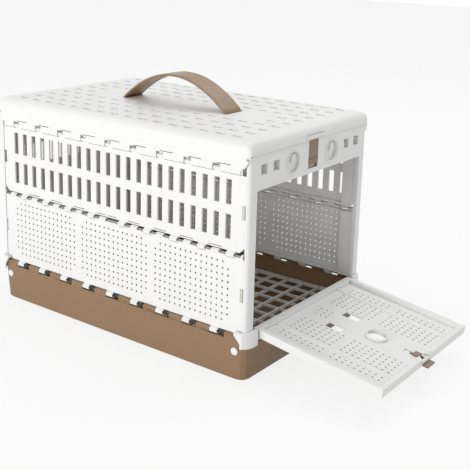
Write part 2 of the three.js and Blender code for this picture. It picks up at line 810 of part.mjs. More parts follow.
// The frame itself: two posts, a crossbar with windows, ports and latch pocket, and the shelves
// over the tray's corners
function frameBody() {
  const gate = outline([
    [-postOuter, postBottom], [-sillHalf, postBottom], [-sillHalf, sillEnd], [-openingHalf, sillEnd],
    [-openingHalf, openingTop], [openingHalf, openingTop],
    [openingHalf, sillEnd], [sillHalf, sillEnd], [sillHalf, postBottom], [postOuter, postBottom],
    [postOuter, frameTop], [-postOuter, frameTop],
  ]);
  const plan = [[frameBack, -postOuter]];
  for (const [, sign] of sides) {
    for (const step of range(cornerArcs + 1)) {
      const turn = ((sign < 0 ? -1 + step / cornerArcs : step / cornerArcs) * Math.PI) / 2;
      const x = frameFace - postRound + postRound * Math.cos(turn);
      const y = sign * (postOuter - postRound) + postRound * Math.sin(turn);
      plan.push([x, y]);
    }
  }
  plan.push([frameBack, postOuter]);
  const earBottom = framePivotHeight - earDepth;
  const rounded = alongZ(outline(plan), 0, earBottom);
  const square = box([frameBack, frameFace], [-postOuter, postOuter], [earBottom, height]);
  let shape = alongX(gate, frameBack, frameFace).intersect(rounded.add(square));
  const sillRoom = box([frameBack, frameFace], [-sillHalf, sillHalf], [sillBottom, sillEnd]);
  const shelf = overTray(tabGap + cornerTab, [postBottom, tabShelf]).intersect(tabZone()).subtract(sillRoom);
  for (const [, sign] of sides) {
    shape = shape.add(onSide(shelf, sign));
  }

  const through = [frameBack - overrun, frameFace + overrun];
  const places = windowShares.flatMap((share) => [-share * openingHalf, share * openingHalf]);
  const windows = places.map((y) => rectangle(about(y, windowSize), about(windowHeight, windowSize)));
  shape = shape.subtract(alongX(windows, ...through));

  for (const [, sign] of sides) {
    const y = sign * portShare * openingHalf;
    const ring = (radius) => polygon(radius, portSides, y, portHeight);
    const view = rectangle(about(y, portWindowWidth), [portHeight, portHeight + portWindowHeight]);
    const cupBack = frameBack - portDepth;
    shape = shape
      .add(alongX(ring(portRadius + portWall), cupBack, frameFace))
      .add(alongX(ring(portRimRadius), frameBack, frameFace + portRim))
      .subtract(alongX(ring(portRadius), cupBack + portFloor, frameFace + portRim + overrun))
      .subtract(alongX(view, cupBack - overrun, frameFace));
  }

  const pocketWidth = latchWidth + 2 * runningGap;
  const pocketFloor = frameFace - latchPocketDepth;
  const pocketZ = [latchPocketBottom, frameTop + overrun];
  const grooveX = [pocketFloor, pocketFloor + latchGrooveDepth];
  shape = shape
    .subtract(box([pocketFloor, frameFace + overrun], about(0, pocketWidth), pocketZ))
    .subtract(box(grooveX, about(0, pocketWidth + 2 * latchGroove), pocketZ));

  const pinBore = polygon(framePinRadius + framePinClearance, boreSides, framePivotHeight, framePivotX);
  const boreEnd = -width / 2 + framePinFlush + framePinLength + runningGap;
  const bore = alongY(pinBore, -width, boreEnd);
  return shape.subtract(bore).subtract(mirrored(bore, 1));
}

// The sill between the posts' feet, with upturned ends that take the door's pins
function frameSill(hasDoor) {
  const profile = outline([
    [-sillHalf, sillBottom], [sillHalf, sillBottom], [sillHalf, sillEnd], [openingHalf, sillEnd],
    [openingHalf, sillTop], [-openingHalf, sillTop], [-openingHalf, sillEnd], [-sillHalf, sillEnd],
  ]);
  const shape = alongX(profile, frameBack, frameFace);
  if (!hasDoor) {
    return shape;
  }
  const hole = polygon(doorPinBore, boreSides, doorPivotHeight, framePivotX);
  const bore = alongY(hole, -doorPinOuter - runningGap, -openingHalf + overrun);
  return shape.subtract(bore).subtract(mirrored(bore, 1));
}

// Latch that slides in the pocket of the crossbar: a plate with side tongues, and a grip
function frameLatch() {
  const back = frameFace - latchPocketDepth + runningGap;
  const step = back + latchGrooveDepth - 2 * runningGap;
  const face = back + latchThickness;
  const half = latchWidth / 2;
  const tongue = half + latchGroove;
  const section = outline([
    [back, -tongue], [step, -tongue], [step, -half], [face, -half],
    [face, half], [step, half], [step, tongue], [back, tongue],
  ]);
  const grip = box(
    [step, face + latchGripProud], about(0, latchWidth - 2 * latchGripInset),
    [latchBottom + latchGripInset, latchBottom + latchGripHeight],
  );
  return alongZ(section, latchBottom, latchTop).add(grip);
}

function endFrames() {
  for (const [endName, sign] of ends) {
    place(`${endName}_frame`, atEnd(frameBody(), sign), plastic(white));
    place(`${endName}_sill`, atEnd(frameSill(sign > 0), sign), plastic(white));
    place(`${endName}_latch`, atEnd(frameLatch(), sign), plastic(tan));
    for (const [sideName, sideSign] of sides) {
      const tab = onSide(frameCornerTab(), sideSign);
      place(`${endName}_corner_tab_${sideName}`, atEnd(tab, sign), plastic(white));
      const pinStart = -width / 2 + framePinFlush;
      const section = polygon(framePinRadius, pinSides, framePivotHeight, framePivotX);
      const pin = onSide(alongY(section, pinStart, pinStart + framePinLength), sideSign);
      place(`${endName}_pivot_pin_${sideName}`, atEnd(pin, sign), metal(steel));
    }
  }
}

// Ramp door, drawn along its own axis u from the hinge, with w up from its hinge line
const doorSpace = new THREE.Group();
doorSpace.position.set(framePivotX, 0, doorPivotHeight);
doorSpace.rotation.y = THREE.MathUtils.degToRad(doorOpenDrop);
group.add(doorSpace);

function placeOnDoor(name, shape, material) {
  doorSpace.add(place(name, shape, material));
}

function door() {
  const section = [];
  const barrelSteps = 2 * cornerArcs;
  for (const step of range(barrelSteps + 1)) {
    const angle = Math.PI / 2 + (step / barrelSteps) * Math.PI;
    section.push([doorBarrel * Math.sin(angle), doorBarrel * Math.cos(angle)]);
  }
  section.push([-doorBarrel, doorLength], [doorInnerRise, doorLength]);
  section.push([doorInnerRise, doorBarrel], [doorBarrel, doorBarrel]);
  let shape = alongY(outline(section), -doorHalf, doorHalf);

  const pocketU = [doorBarrel + doorBarrel / 2, doorLength - doorBorder];
  const pocketY = [-doorHalf + doorBorder, doorHalf - doorBorder];
  shape = shape
    .subtract(box(pocketU, pocketY, [doorPanelTop, doorInnerRise + overrun]))
    .subtract(box(pocketU, pocketY, [-doorBarrel - overrun, doorPanelTop - doorPanel]));

  const inPanel = doorPanelTop - doorPanel / 2;
  const ridgeU = [pocketU[0] - doorPanel, pocketU[1] + doorPanel];
  const ridges = [-doorRidgeShare, doorRidgeShare].map((share) => (
    box(ridgeU, about(share * doorHalf, doorRidgeWidth), [inPanel, doorPanelTop + doorRidgeHeight])
  ));
  const fingerU = fingerHoleShare * doorLength;
  const rim = polygon(fingerHoleRadius + fingerRim, fingerSides, fingerU, 0);
  shape = shape.add(join(ridges)).add(alongZ(rim, inPanel, doorPanelTop + fingerRimHeight));

  const slotU = about(doorSlotLengthShare * doorLength, doorSlotLength);
  const slotY = doorSlotShare * doorHalf;
  const cuts = [
    polygon(fingerHoleRadius, fingerSides, fingerU, 0),
    rectangle(slotU, about(-slotY, doorSlotWidth)),
    rectangle(slotU, about(slotY, doorSlotWidth)),
    rectangle(about(doorLength - latchSlotInset, latchSlotLength), about(0, latchSlotWidth)),
  ];
  shape = shape.subtract(alongZ(cuts, -doorBarrel - overrun, doorInnerRise + overrun));

  const notchInner = doorLength - doorBorder - overrun;
  const notch = outline([
    [doorLength + overrun, -notchWidth / 2 - overrun], [doorLength + overrun, notchWidth / 2 + overrun],
    [notchInner, notchWidth / 4], [notchInner, -notchWidth / 4],
  ]);
  const channel = box(
    [notchInner, doorLength + overrun], about(0, boltWidth + 2 * boltClearance),
    [-doorBarrel - overrun, -doorBarrel + boltThickness + boltClearance],
  );
  shape = shape
    .subtract(alongZ(notch, doorPanelTop, doorInnerRise + overrun))
    .subtract(channel)
    .subtract(alongY(polygon(doorPinBore, boreSides), -doorHalf - overrun, doorHalf + overrun));
  placeOnDoor("ramp_door", shape, plastic(white));

  for (const [sideName, sign] of sides) {
    const pin = alongY(polygon(doorPinRadius, pinSides), -doorPinOuter, -doorPinInner);
    placeOnDoor(`door_pin_${sideName}`, onSide(pin, sign), metal(steel));
  }
}

// Bolt under the door's free edge, worked by a cap on the inside through the bolt's slot
function doorBolt() {
  const tip = doorLength + boltReach;
  const capBottom = doorPanelTop + runningGap;
  const capTop = capBottom + boltCapHeight;
  const neckU = [doorLength - boltNeckInset - boltNeckLength, doorLength - boltNeckInset];
  const capU = neckU.map((u) => u - boltCap / 2);
  const shape = join([
    box([tip - boltLength, tip], about(0, boltWidth), [-doorBarrel, -doorBarrel + boltThickness]),
    box(neckU, about(0, boltNeckWidth), [-doorBarrel, capTop]),
    box(capU, about(0, boltNeckWidth + 2 * boltCap), [capBottom, capTop]),
  ]);
  placeOnDoor("door_bolt", shape, plastic(tan));
}

// Rear panel with a row of ventilation slots
function rearPanel() {
  const half = openingHalf - runningGap;
  const bottom = sillTop + runningGap;
  const top = openingTop - runningGap;
  const face = frameFace + runningGap;
  const lipBottom = tabShelf + runningGap;
  const count = 1 + Math.floor((2 * (half - rearSlotMargin) - slotWidth) / slotPitch);
  const spanZ = about(openingTop - rearSlotDrop, rearSlotHeight);
  const slots = centred(count, slotPitch).map((y) => rectangle(about(y, slotWidth), spanZ));
  const shape = join([
    box([frameFace - rearPlate, frameFace], [-half, half], [bottom, top]),
    box([frameFace, face], [-half, half], [lipBottom, top]),
    box([face, face + rearLipThickness], about(0, 2 * (half + rearLip)), [lipBottom, top + rearLip]),
  ]);
  const cutter = alongX(slots, frameBack, face + rearLipThickness + overrun);
  place("rear_panel", atEnd(shape.subtract(cutter), -1), plastic(white));
}

tray();
floorGrid();
buttons();
for (const [sideName, sign] of sides) {
  lowerWall(`lower_wall_${sideName}`, sign);
  upperWall(`upper_wall_${sideName}`, sign);
}
wallPins();
lid();
handle();
endFrames();
door();
doorBolt();
rearPanel();

export default group;
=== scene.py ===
# Folding transport cage for birds: surfaces, fine perforations, light and camera.
# Metres throughout. +X is the door end, +Y the far long side, +Z up.

import json
import math

import bmesh
import bpy
from mathutils import Matrix, Vector


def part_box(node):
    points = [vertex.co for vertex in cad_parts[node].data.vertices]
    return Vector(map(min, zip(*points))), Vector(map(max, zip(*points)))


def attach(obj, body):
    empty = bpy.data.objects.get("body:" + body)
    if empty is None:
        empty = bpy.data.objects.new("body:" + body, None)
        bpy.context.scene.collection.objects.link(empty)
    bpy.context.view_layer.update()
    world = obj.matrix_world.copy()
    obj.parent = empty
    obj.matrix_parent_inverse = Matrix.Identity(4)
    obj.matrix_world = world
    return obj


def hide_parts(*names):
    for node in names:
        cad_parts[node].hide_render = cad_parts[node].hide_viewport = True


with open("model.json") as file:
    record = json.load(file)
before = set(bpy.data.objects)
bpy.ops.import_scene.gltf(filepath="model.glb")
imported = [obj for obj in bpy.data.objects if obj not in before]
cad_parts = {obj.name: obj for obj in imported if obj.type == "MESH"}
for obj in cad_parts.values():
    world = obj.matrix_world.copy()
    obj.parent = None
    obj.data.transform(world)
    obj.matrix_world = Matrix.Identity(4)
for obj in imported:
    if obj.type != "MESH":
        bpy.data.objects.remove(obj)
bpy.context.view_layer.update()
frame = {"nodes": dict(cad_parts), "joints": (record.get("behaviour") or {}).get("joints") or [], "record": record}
bpy.context.scene.view_settings.view_transform = "Standard"

MM = 0.001
nodes = frame["nodes"]
bodies = {node: body for body, group in frame["record"]["behaviour"]["bodies"].items() for node in group}
slots = {part["node"]: part["material_slot"] for part in frame["record"]["subparts"]}
hinges = {joint["name"]: Vector(joint["pos_m"]) for joint in frame["joints"] if joint["type"] == "hinge"}

# The angle, distance and lens come from the photograph's vertical edges, hole rows and corners.
camera_azimuth = -53.6352  # degrees: from +X towards +Y
camera_elevation = 13.7224
camera_roll = 1.5463
camera_place = (0.74213, -0.88751, 0.48343)
camera_data = bpy.data.cameras.new("studio_camera")
camera_data.sensor_width = 36
camera_data.lens = 70.2
camera_data.shift_y = -0.1574
camera_data.clip_end = 20
camera = bpy.data.objects.new("studio_camera", camera_data)
bpy.context.scene.collection.objects.link(camera)
camera.matrix_world = (
    Matrix.Translation(camera_place)
    @ Matrix.Rotation(math.radians(camera_azimuth + 90), 4, "Z")
    @ Matrix.Rotation(math.radians(90 - camera_elevation), 4, "X")
    @ Matrix.Rotation(math.radians(camera_roll), 4, "Z")
)
bpy.context.scene.camera = camera


def linear(code):
    """An sRGB hex colour as linear RGBA."""
    channels = [int(code[start:start + 2], 16) / 255 for start in (1, 3, 5)]
    return tuple(c / 12.92 if c <= 0.04045 else ((c + 0.055) / 1.055) ** 2.4 for c in channels) + (1,)


def add(tree, kind, settings=(), **links):
    """Adds a node. settings sets its properties, links its inputs: a socket or a value. An input is
    named, with _ for a space, or numbered, as in _0."""
    node = tree.nodes.new(kind)
    for name, value in dict(settings).items():
        setattr(node, name, value)
    for name, value in links.items():
        key = int(name[1:]) if name[0] == "_" else name.replace("_", " ")
        if isinstance(value, bpy.types.NodeSocket):
            tree.links.new(value, node.inputs[key])
        else:
            node.inputs[key].default_value = value
    return node


def blank_material(name):
    """A new material, its node tree and its shader."""
    material = bpy.data.materials.new(name)
    material.use_nodes = True
    return material, material.node_tree, material.node_tree.nodes["Principled BSDF"]


def moulded_plastic(name, colour, flow_shade, painted_recess_shade, roughness, grain, scuffs):
    """Moulded polypropylene: satin, with the fine grain of a spark-eroded mould, a slow change of shade
    where the melt flowed, edges rounded by the mould, a little rubbed gloss, and painted shade in
    slots, holes and gaps."""
    material, tree, surface = blank_material(name)
    place = add(tree, "ShaderNodeTexCoord").outputs["Object"]
    # Flow marks some 60 mm across
    flow = add(tree, "ShaderNodeTexNoise", Vector=place, Scale=1 / (60 * MM), Detail=3.0, Roughness=0.55)
    tint = add(tree, "ShaderNodeMix", {"data_type": "RGBA"}, _0=flow.outputs["Fac"])
    tint.inputs[6].default_value = linear(colour)
    tint.inputs[7].default_value = linear(flow_shade)
    # Painted shade: slots, holes and gaps within 6 mm are drawn darker, because the plain light leaves them pale
    open_air = add(tree, "ShaderNodeAmbientOcclusion", {"samples": 6}, Distance=6 * MM)
    exposed = add(
        tree, "ShaderNodeMapRange", Value=open_air.outputs["AO"], From_Min=0.1, From_Max=0.6, To_Min=0.0,
        To_Max=1.0,
    )
    shaded = add(tree, "ShaderNodeMix", {"data_type": "RGBA"}, _0=exposed.outputs["Result"])
    shaded.inputs[6].default_value = linear(painted_recess_shade)
    tree.links.new(tint.outputs[2], shaded.inputs[7])
    tree.links.new(shaded.outputs[2], surface.inputs["Base Color"])
    # Rubbed patches some 14 mm across
    rubbed = add(tree, "ShaderNodeTexNoise", Vector=place, Scale=1 / (14 * MM), Detail=5.0, Roughness=0.6)
    gloss = add(
        tree, "ShaderNodeMapRange", Value=rubbed.outputs["Fac"], From_Min=0.35, From_Max=0.7,
        To_Min=roughness + scuffs, To_Max=roughness - scuffs,
    )
    tree.links.new(gloss.outputs["Result"], surface.inputs["Roughness"])
    # The real grain is about 0.1 mm: drawn at 0.7 mm so that it shows
    pits = add(tree, "ShaderNodeTexNoise", Vector=place, Scale=1 / (0.7 * MM), Detail=2.0, Roughness=0.6)
    rounded = add(tree, "ShaderNodeBevel", {"samples": 4}, Radius=0.4 * MM)
    bump = add(
        tree, "ShaderNodeBump", Height=pits.outputs["Fac"], Normal=rounded.outputs["Normal"],
        Strength=grain, Distance=0.05 * MM,
    )
    tree.links.new(bump.outputs["Normal"], surface.inputs["Normal"])
    surface.inputs["IOR"].default_value = 1.49
    return material


def drawn_steel(name, colour, shade):
    """Drawn steel wire: long fine scratches along X."""
    material, tree, surface = blank_material(name)
    surface.inputs["Metallic"].default_value = 1
    place = add(tree, "ShaderNodeTexCoord").outputs["Object"]
    # Scratches 0.2 mm apart and 50 mm long
    stretched = add(
        tree, "ShaderNodeMapping", Vector=place, Scale=(1 / (50 * MM), 1 / (0.2 * MM), 1 / (0.2 * MM)),
    )
    lines = add(tree, "ShaderNodeTexNoise", Vector=stretched.outputs["Vector"], Scale=1.0, Detail=3.0)
    tone = add(tree, "ShaderNodeMix", {"data_type": "RGBA"}, _0=lines.outputs["Fac"])
    tone.inputs[6].default_value = linear(shade)
    tone.inputs[7].default_value = linear(colour)
    tree.links.new(tone.outputs[2], surface.inputs["Base Color"])
    gloss = add(tree, "ShaderNodeMapRange", Value=lines.outputs["Fac"], To_Min=0.25, To_Max=0.45)
    tree.links.new(gloss.outputs["Result"], surface.inputs["Roughness"])
    return material


# The third colour of each plastic is the painted shade of its slots, holes and gaps
finishes = {
    "cage_plastic": moulded_plastic(
        "white_polypropylene", "#F1F1EF", "#ECECEA", "#8A847A", roughness=0.42, grain=0.25, scuffs=0.06,
    ),
    "tray_plastic": moulded_plastic(
        "brown_polypropylene", "#937556", "#8B6E51", "#57432F", roughness=0.45, grain=0.35, scuffs=0.07,
    ),
    "strap_plastic": moulded_plastic(
        "brown_soft_plastic", "#9C7F62", "#907458", "#5E4A38", roughness=0.40, grain=0.30, scuffs=0.08,
    ),
    "latch_plastic": moulded_plastic(
        "brown_latch_plastic", "#94796A", "#8A705F", "#5A473C", roughness=0.38, grain=0.25, scuffs=0.06,
    ),
    "grid_plastic": moulded_plastic(
        "grid_polypropylene", "#EFEDE9", "#E6E3DD", "#8E8A82", roughness=0.45, grain=0.25, scuffs=0.06,
    ),
    "pin_steel": drawn_steel("drawn_steel", "#C2C3C5", "#AEB0B3"),
    # Painted shade: the same steel drawn dark, so that the tray's hinge windows look shaded
    "tray_pin_painted_shade": drawn_steel("steel_wire_painted_shade", "#5A5B5E", "#3B3C3F"),
}


def new_tree(name, sockets):
    """A Geometry Nodes tree with the given inputs, and the sockets that give them in it."""
    tree = bpy.data.node_groups.new(name, "GeometryNodeTree")
    tree.interface.new_socket("Geometry", in_out="INPUT", socket_type="NodeSocketGeometry")
    for label, kind, value in sockets:
        socket = tree.interface.new_socket(label, in_out="INPUT", socket_type=kind)
        if value is not None:
            socket.default_value = value
    tree.interface.new_socket("Geometry", in_out="OUTPUT", socket_type="NodeSocketGeometry")
    return tree, tree.nodes.new("NodeGroupInput").outputs


def row_length(tree, count, pitch):
    """From the first of a row to the last."""
    gaps = add(tree, "ShaderNodeMath", {"operation": "SUBTRACT"}, _0=count, _1=1.0)
    return add(tree, "ShaderNodeMath", {"operation": "MULTIPLY"}, _0=gaps.outputs[0], _1=pitch).outputs[0]


def one_on_each(tree, points, shape, finish):
    """Puts the shape on each point, gives it its finish and ends the tree."""
    spread = add(tree, "GeometryNodeInstanceOnPoints", Points=points, Instance=shape)
    solid = add(tree, "GeometryNodeRealizeInstances", Geometry=spread.outputs["Instances"])
    done = add(tree, "GeometryNodeSetMaterial", Geometry=solid.outputs["Geometry"], Material=finish)
    out = tree.nodes.new("NodeGroupOutput")
    tree.links.new(done.outputs["Geometry"], out.inputs[0])
    return tree


def hole_tree():
    """A grid of round cutters in its own plane, across the third axis."""
    tree, given = new_tree("hole_grid", (
        ("Columns", "NodeSocketInt", 2), ("Rows", "NodeSocketInt", 2),
        ("Column pitch", "NodeSocketFloat", 0.01), ("Row pitch", "NodeSocketFloat", 0.01),
        ("Radius", "NodeSocketFloat", 0.001), ("Depth", "NodeSocketFloat", 0.01),
        ("Sides", "NodeSocketInt", 10), ("Finish", "NodeSocketMaterial", None),
    ))
    grid = add(
        tree, "GeometryNodeMeshGrid", Vertices_X=given["Columns"], Vertices_Y=given["Rows"],
        Size_X=row_length(tree, given["Columns"], given["Column pitch"]),
        Size_Y=row_length(tree, given["Rows"], given["Row pitch"]),
    )
    hole = add(
        tree, "GeometryNodeMeshCylinder", Vertices=given["Sides"], Radius=given["Radius"],
        Depth=given["Depth"],
    )
    return one_on_each(tree, grid.outputs["Mesh"], hole.outputs["Mesh"], given["Finish"])


def bar_tree():
    """A row of bars along X, each a box, side by side at a pitch."""
    tree, given = new_tree("bar_row", (
        ("Count", "NodeSocketInt", 2), ("Pitch", "NodeSocketFloat", 0.01),
        ("Bar size", "NodeSocketVector", (0.01, 0.01, 0.01)), ("Finish", "NodeSocketMaterial", None),
    ))
    length = row_length(tree, given["Count"], given["Pitch"])
    half = add(tree, "ShaderNodeMath", {"operation": "MULTIPLY"}, _0=length, _1=-0.5)
    start = add(tree, "ShaderNodeCombineXYZ", X=half.outputs[0])
    step = add(tree, "ShaderNodeCombineXYZ", X=given["Pitch"])
    line = add(
        tree, "GeometryNodeMeshLine", Count=given["Count"], Start_Location=start.outputs[0],
        Offset=step.outputs[0],
    )
    bar = add(tree, "GeometryNodeMeshCube", Size=given["Bar size"])
    return one_on_each(tree, line.outputs["Mesh"], bar.outputs["Mesh"], given["Finish"])


hole_grid = hole_tree()
bar_row = bar_tree()


def flatten(obj):
    """The evaluated object as a plain mesh, with its modifiers gone."""
    graph = bpy.context.evaluated_depsgraph_get()
    mesh = bpy.data.meshes.new_from_object(obj.evaluated_get(graph))
    bpy.data.objects.remove(obj)
    return mesh


def linked(name, mesh):
    obj = bpy.data.objects.new(name, mesh)
    bpy.context.scene.collection.objects.link(obj)
    return obj


def grown(tree, place, values):
    """The mesh that a node tree makes with the given inputs, moved by the matrix place."""
    obj = linked("grown", bpy.data.meshes.new("grown"))
    modifier = obj.modifiers.new("tree", "NODES")
    modifier.node_group = tree
    for item in tree.interface.items_tree:
        if item.in_out == "INPUT" and item.name in values:
            modifier[item.identifier] = values[item.name]
    mesh = flatten(obj)
    mesh.transform(place)
    return mesh


def holes(place, columns, rows, pitch, radius, depth):
    """One grid of round cutters. Sizes in millimetres."""
    return grown(hole_grid, place, {
        "Columns": columns, "Rows": rows, "Column pitch": pitch[0] * MM, "Row pitch": pitch[1] * MM,
        "Radius": radius * MM, "Depth": depth * MM, "Finish": finishes["cage_plastic"],
    })


def bars(place, count, pitch, size):
    """One row of boxes, side by side along X. Sizes in millimetres."""
    return grown(bar_row, place, {
        "Count": count, "Pitch": pitch * MM, "Bar size": [length * MM for length in size],
        "Finish": finishes["cage_plastic"],
    })


def at(x, y, z):
    return Matrix.Translation(Vector((x, y, z)) * MM)


def mesh_from(bm, name):
    """The mesh that bm holds. bm is used up."""
    mesh = bpy.data.meshes.new(name)
    bm.to_mesh(mesh)
    bm.free()
    return mesh


def joined(name, meshes):
    """One mesh made of several."""
    bm = bmesh.new()
    for mesh in meshes:
        bm.from_mesh(mesh)
    return mesh_from(bm, name)


def boolean(piece, tool, operation):
    """piece joined with tool, or cut by it. Both are used up."""
    name = piece.name
    modifier = piece.modifiers.new("boolean", "BOOLEAN")
    modifier.solver = "MANIFOLD"
    modifier.operation = operation
    modifier.object = tool
    mesh = flatten(piece)
    bpy.data.objects.remove(tool)
    return linked(name, mesh)


# Corners nearer to each other than one_corner are made one, faces that turn less than flat_turn
# become one flat, and edges that turn more than sharp_turn can be softened
one_corner = 0.002 * MM
flat_turn = math.radians(0.4)
sharp_turn = math.radians(50)


def merged(node):
    """A copy of a CAD node's mesh, with the corners of neighbouring faces made one."""
    bm = bmesh.new()
    bm.from_mesh(nodes[node].data)
    bmesh.ops.remove_doubles(bm, verts=bm.verts, dist=one_corner)
    return linked(node + "_surface", mesh_from(bm, node + "_surface"))


def dressed(node, *same, extra=(), cutters=(), edge=0, least=3):
    """A piece that stands for a CAD node and for those that are one moulding with it: their merged
    shape, with extra solids joined on, the edges longer than least softened and the cutters taken out."""
    piece = merged(node)
    for other in same:
        piece = boolean(piece, merged(other), "UNION")
    for solid in extra:
        piece = boolean(piece, linked("extra", solid), "UNION")
    bm = bmesh.new()
    bm.from_mesh(piece.data)
    bmesh.ops.remove_doubles(bm, verts=bm.verts, dist=one_corner)
    bmesh.ops.dissolve_limit(bm, angle_limit=flat_turn, verts=bm.verts, edges=bm.edges)
    if edge:
        sharp = [
            e for e in bm.edges
            if len(e.link_faces) == 2 and e.calc_length() > least * MM
            and e.calc_face_angle(0) > sharp_turn
        ]
        bmesh.ops.bevel(
            bm, geom=sharp, offset=edge * MM, offset_type="OFFSET", segments=2, profile=0.5,
            affect="EDGES", clamp_overlap=False,
        )
    bm.to_mesh(piece.data)
    bm.free()
    if cutters:
        piece = boolean(piece, linked("cutter", joined("cutter", cutters)), "DIFFERENCE")
    return finished(piece, (node,) + same)


def finished(piece, stands_for, smooth=33):
    """Shades a piece, gives it its finish and lets it ride in the place of its CAD nodes. Faces that
    turn more than smooth, in degrees, meet in a sharp edge."""
    slot = slots[stands_for[0]]
    mesh = piece.data
    mesh.materials.clear()
    mesh.materials.append(finishes[slot])
    mesh.shade_smooth()
    mesh.set_sharp_from_angle(angle=math.radians(smooth))
    even = piece.modifiers.new("even_normals", "WEIGHTED_NORMAL")
    even.keep_sharp = True
    even.weight = 80
    name = piece.name
    mesh = flatten(piece)
    piece = linked(name, mesh)
    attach(piece, bodies[stands_for[0]])
    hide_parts(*stands_for)
    return piece


# Fine round holes of the lower walls: three groups, each with a shorter column on both sides
wall_pitch = 7.62
wall_hole = 1.3
wall_rows = 10
wall_columns = 13
wall_rows_missing = 2  # from the outer column on each side of a group
group_centres = (-121, 0, 121)
group_height = 101.5
side_y = 122.8
hole_cut = 8  # length of a cutter, through any wall


def wall_perforations(sign):
    meshes = []
    upright = Matrix.Rotation(math.pi / 2, 4, "X")
    pitch = (wall_pitch, wall_pitch)
    outer_column = wall_pitch * (wall_columns + 1) / 2
    for centre in group_centres:
        place = at(centre, sign * side_y, group_height) @ upright
        meshes.append(holes(place, wall_columns, wall_rows, pitch, wall_hole, hole_cut))
        for side in (-1, 1):
            place = at(centre + side * outer_column, sign * side_y, group_height) @ upright
            meshes.append(holes(place, 1, wall_rows - wall_rows_missing, pitch, wall_hole, hole_cut))
    return meshes


# Fine holes of the ramp door, along its own axis u from the hinge: blocks of columns and rows
door_rest_angle = 8  # degrees below level
door_tilt = (
    Matrix.Translation(hinges["door_swing"]) @ Matrix.Rotation(math.radians(door_rest_angle), 4, "Y")
)
door_pitch = 7.5
door_hole = 1.25
door_panel_middle = -0.7  # half-way through the panel, from the hinge's height
hinge_block_start = 20.3
hinge_block_columns = 8
free_block_start = 87.5
free_block_columns = 10
outer_rows_y = 78.75
outer_row_count = 2
inner_rows_y = 45
inner_row_count = 5
middle_block = 3  # columns and rows of the small block at the middle of the hinge


def door_perforations():
    blocks = []
    for start, columns in (
        (hinge_block_start, hinge_block_columns), (free_block_start, free_block_columns),
    ):
        middle = start + (columns - 1) * door_pitch / 2
        for sign in (-1, 1):
            for y, rows in ((outer_rows_y, outer_row_count), (inner_rows_y, inner_row_count)):
                blocks.append((middle, sign * y, columns, rows))
    blocks.append((hinge_block_start + door_pitch, 0, middle_block, middle_block))
    meshes = []
    for u, y, columns, rows in blocks:
        place = door_tilt @ at(u, y, door_panel_middle)
        meshes.append(holes(place, columns, rows, (door_pitch, door_pitch), door_hole, hole_cut))
    return meshes


# Thin slits that the mould leaves above the windows of the lid's skirts and of the middle hinges
slit_height = 0.8
slit_length = 19
skirt_slit_cut = 5  # through the lid's skirt
wall_slit_cut = 6  # through the upper wall
skirt_slit_start = 1  # from the middle of a hook
wall_slit_start = -2  # from the place of a window
skirt_slit_z = 247.6
middle_slit_z = 152.4
hook_pitch = 40.6
hook_count = 9
hook_middle = -5  # the middle hook's place along the cage
skirt_y = 126.6
upper_wall_y = 123.4
window_middle = -12  # the windows of the middle hinge that have a slit: this one, and four to each side
window_first = 25.5
window_pitch = 40.7
window_count = 4


def skirt_slits(sign):
    middle = hook_middle + skirt_slit_start + slit_length / 2
    size = (slit_length, skirt_slit_cut, slit_height)
    return [bars(at(middle, sign * skirt_y, skirt_slit_z), hook_count, hook_pitch, size)]


def middle_slits(sign):
    size = (slit_length, wall_slit_cut, slit_height)
    outer = [window_first + window * window_pitch for window in range(window_count)]
    windows = [window_middle] + [side * place for place in outer for side in (-1, 1)]
    shift = wall_slit_start + slit_length / 2
    return [bars(at(x + shift, sign * upper_wall_y, middle_slit_z), 1, 1, size) for x in windows]


for side, sign in (("near", -1), ("far", 1)):
    dressed("lower_wall_" + side, cutters=wall_perforations(sign))
    dressed("upper_wall_" + side, cutters=middle_slits(sign))
dressed("lid_shell", cutters=skirt_slits(-1) + skirt_slits(1))
dressed("base_tray", "tray_rim_near", "tray_rim_far")


# Round ports of the crossbars: a smooth rim that stands proud, and a smooth bore in it
frame_face = 201.3
port_places = (-41.6, 41.6)
port_height = 239
port_rim = 0.8
port_rim_radius = 14.4
port_clear_radius = 17
port_radius = 12.5
port_depth = 3.4
port_floor = 1.2
port_window = (6, 10)
port_overrun = 3  # the bores' cutters end this far in front of the crossbar
port_window_cut = 6.4  # length of a small window's cutter
ring_height = 2  # of the cutter that makes a rim round, in front of the crossbar
ring_overrun = 1  # of that cutter's core, at both ends
disc_sides = 64


def disc(low_x, high_x, y, z, radius):
    """A round solid along X."""
    bm = bmesh.new()
    bmesh.ops.create_cone(
        bm, cap_ends=True, segments=disc_sides, radius1=radius * MM, radius2=radius * MM,
        depth=(high_x - low_x) * MM,
    )
    bm.transform(at((low_x + high_x) / 2, y, z) @ Matrix.Rotation(math.pi / 2, 4, "Y"))
    return mesh_from(bm, "disc")


def along(sign, back, proud, y, radius):
    """A disc between two depths of a crossbar, at the front for sign 1 and at the rear for -1."""
    return disc(*sorted((sign * back, sign * proud)), y, port_height, radius)


def port_solids(sign):
    """Rims and cutters of one crossbar's ports: bores, small windows, and rings that round the rims."""
    floor = frame_face - port_depth
    ring_top = frame_face + ring_height
    wide, tall = port_window
    size = (port_window_cut, wide, tall)
    rims, cutters = [], []
    for y in port_places:
        rims.append(along(sign, floor - port_floor, frame_face + port_rim, y, port_rim_radius))
        cutters.append(along(sign, floor, frame_face + port_overrun, y, port_radius))
        ring = linked("ring", along(sign, frame_face, ring_top, y, port_clear_radius))
        core = linked(
            "core", along(sign, frame_face - ring_overrun, ring_top + ring_overrun, y, port_rim_radius),
        )
        ring = boolean(ring, core, "DIFFERENCE")
        cutters.append(ring.data)
        bpy.data.objects.remove(ring)
        cutters.append(bars(at(sign * floor, y, port_height + tall / 2), 1, 1, size))
    return rims, cutters


